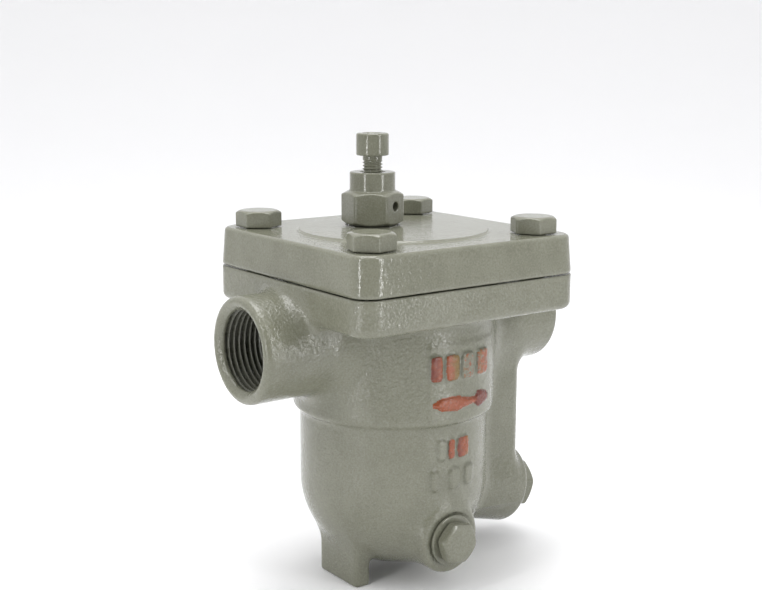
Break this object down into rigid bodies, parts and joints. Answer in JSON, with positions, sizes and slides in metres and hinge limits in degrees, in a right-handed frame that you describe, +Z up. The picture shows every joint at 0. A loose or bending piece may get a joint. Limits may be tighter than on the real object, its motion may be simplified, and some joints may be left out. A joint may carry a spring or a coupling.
{
  "type": "steam trap",
  "caption": "Ball-float steam trap: cast pot with screwed side ports, bolted square cover, key-operated vent valve, riser column, seat and drain plugs.",
  "frame": {"origin": "on the floor under the middle of the pipe faces, the cover and the pot", "axes": "+Z up through the vent; +X is the flow direction, from the inlet face to the outlet face; -Y is the front with the drain plug"},
  "size_m": [0.143, 0.1034, 0.1766],
  "materials": {
    "enamel": "glossy grey-green enamel over a sand casting",
    "stainless": "satin",
    "graphite": "matt"
  },
  "bodies": {
    "trap": {"body": "enamel", "cover": "enamel", "cover_gasket": "graphite", "cover_bolt_front": "enamel", "cover_bolt_right": "enamel", "cover_bolt_left": "enamel", "cover_bolt_rear": "enamel", "vent_washer": "enamel", "vent_body": "enamel", "strainer": "stainless", "strainer_retaining_ring": "stainless", "valve_seat": "stainless", "seat_gasket": "graphite"},
    "float": {"float_ball": "stainless"},
    "bleed_ball": {"vent_ball": "stainless"},
    "bleed_screw": {"vent_screw": "enamel"},
    "seat_plug_ring": {"seat_plug_washer": "enamel"},
    "seat_plug_screw": {"seat_plug": "enamel"},
    "drain_ring": {"drain_plug_washer": "enamel"},
    "drain_screw": {"drain_plug": "enamel"}
  },
  "joints": [
    {"name": "float_rise", "type": "slide", "parent": "trap", "child": "float", "axis": [0, 0, 1], "range_m": [0, 0.04]},
    {"name": "vent_lift", "type": "slide", "parent": "trap", "child": "bleed_ball", "axis": [0, 0, 1], "range_m": [0, 0.003]},
    {"name": "vent_turn", "type": "hinge", "parent": "bleed_ball", "child": "bleed_screw", "pos_m": [-0.0016, 0.0121, 0.16], "axis": [0, 0, 1], "range_deg": [0, 864.5]},
    {"name": "seat_plug_travel", "type": "slide", "parent": "trap", "child": "seat_plug_ring", "axis": [0.9636, 0, -0.2672], "range_m": [0, 0.005]},
    {"name": "seat_plug_turn", "type": "hinge", "parent": "seat_plug_ring", "child": "seat_plug_screw", "pos_m": [0.05974, 0, 0.02293], "axis": [0.9636, 0, -0.2672], "range_deg": [0, 1200.5]},
    {"name": "drain_plug_travel", "type": "slide", "parent": "trap", "child": "drain_ring", "axis": [0, -1, 0], "range_m": [0, 0.007]},
    {"name": "drain_plug_turn", "type": "hinge", "parent": "drain_ring", "child": "drain_screw", "pos_m": [0.0005, -0.037, 0.022], "axis": [0, -1, 0], "range_deg": [0, 1680.5]}
  ],
  "couplings": [
    {"joint": "vent_turn", "follows": "vent_lift", "rad_per_m": 5026.5},
    {"joint": "seat_plug_turn", "follows": "seat_plug_travel", "rad_per_m": 4188.8},
    {"joint": "drain_plug_turn", "follows": "drain_plug_travel", "rad_per_m": 4188.8}
  ]
}
